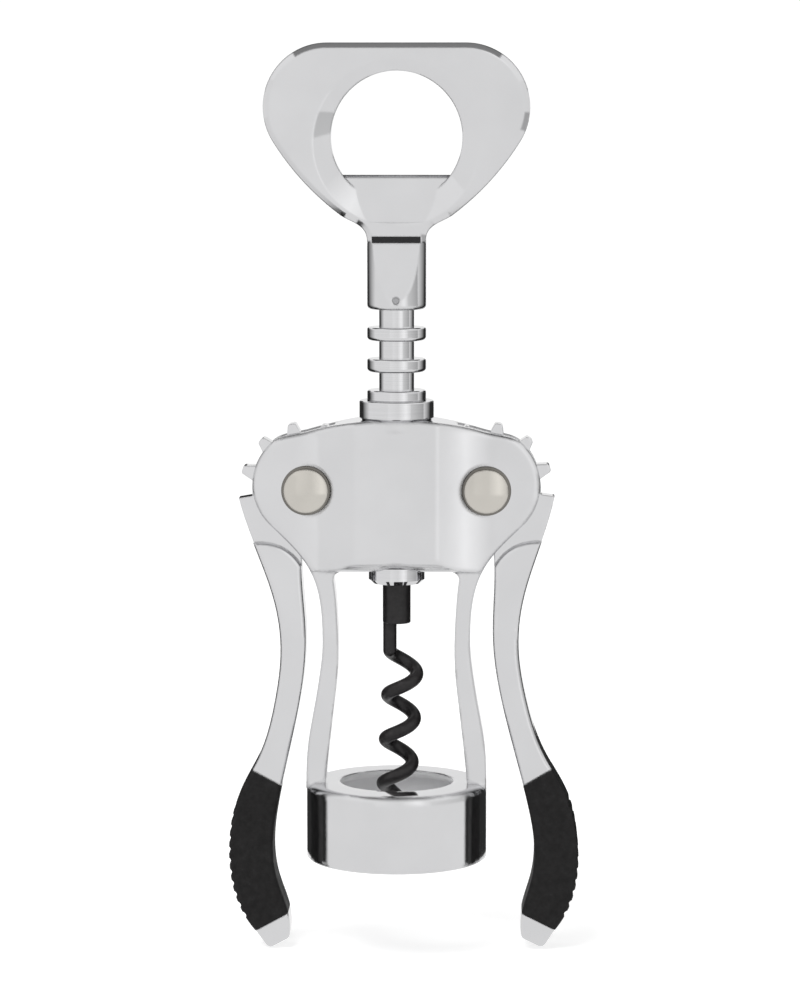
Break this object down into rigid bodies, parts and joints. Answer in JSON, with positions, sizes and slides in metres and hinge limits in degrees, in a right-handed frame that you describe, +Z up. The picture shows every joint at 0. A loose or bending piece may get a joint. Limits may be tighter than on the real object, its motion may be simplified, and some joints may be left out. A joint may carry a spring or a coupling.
{
  "type": "wing corkscrew",
  "caption": "Chrome wing corkscrew: bell over the bottle, ringed rack with worm and ring handle, two toothed levers with rubber grips, crown-cap lip in the ring.",
  "frame": {"origin": "on the spindle axis at the mouth of the bell, where the bottle goes in", "axes": "+Z up the spindle from the bell to the handle, X across the two levers, -Y the front"},
  "size_m": [0.0693, 0.0356, 0.1783],
  "materials": {
    "frame_chrome": "polished plating on a die casting",
    "handle_chrome": "polished plating on a die casting",
    "lever_chrome": "polished plating on a die casting",
    "rack_chrome": "turned and plated",
    "collar_chrome": "turned and plated",
    "worm_coating": "satin non-stick coating",
    "grip_rubber": "matt, ribbed",
    "rivet_nickel": "polished nickel",
    "washer_nickel": "dull nickel",
    "pin_steel": "plain steel",
    "inlay_black": "black enamel"
  },
  "bodies": {
    "frame": {"frame_casting": "frame_chrome", "top_collar": "collar_chrome", "pivot_rivet_right": "rivet_nickel", "pivot_rivet_left": "rivet_nickel", "washer_right": "washer_nickel", "washer_left": "washer_nickel"},
    "rack_sleeve": {"rack": "rack_chrome"},
    "spindle": {"handle": "handle_chrome", "neck_inlay": "inlay_black", "neck_pin": "pin_steel", "worm": "worm_coating", "end_collar": "collar_chrome"},
    "left_wing": {"lever_left": "lever_chrome", "grip_left": "grip_rubber"},
    "right_wing": {"lever_right": "lever_chrome", "grip_right": "grip_rubber"}
  },
  "joints": [
    {"name": "left_wing_pivot", "type": "hinge", "parent": "frame", "child": "left_wing", "pos_m": [-0.01765, 0, 0.07355], "axis": [0, 1, 0], "range_deg": [0, 147]},
    {"name": "right_wing_pivot", "type": "hinge", "parent": "frame", "child": "right_wing", "pos_m": [0.01765, 0, 0.07355], "axis": [0, -1, 0], "range_deg": [0, 147]},
    {"name": "rack_slide", "type": "slide", "parent": "frame", "child": "rack_sleeve", "axis": [0, 0, -1], "range_m": [0, 0.0302]},
    {"name": "spindle_turn", "type": "hinge", "parent": "rack_sleeve", "child": "spindle", "pos_m": [0, 0, 0], "axis": [0, 0, 1], "continuous": true}
  ],
  "couplings": [
    {"joint": "right_wing_pivot", "follows": "left_wing_pivot", "ratio": 1},
    {"joint": "rack_slide", "follows": "left_wing_pivot", "m_per_rad": 0.011765}
  ]
}
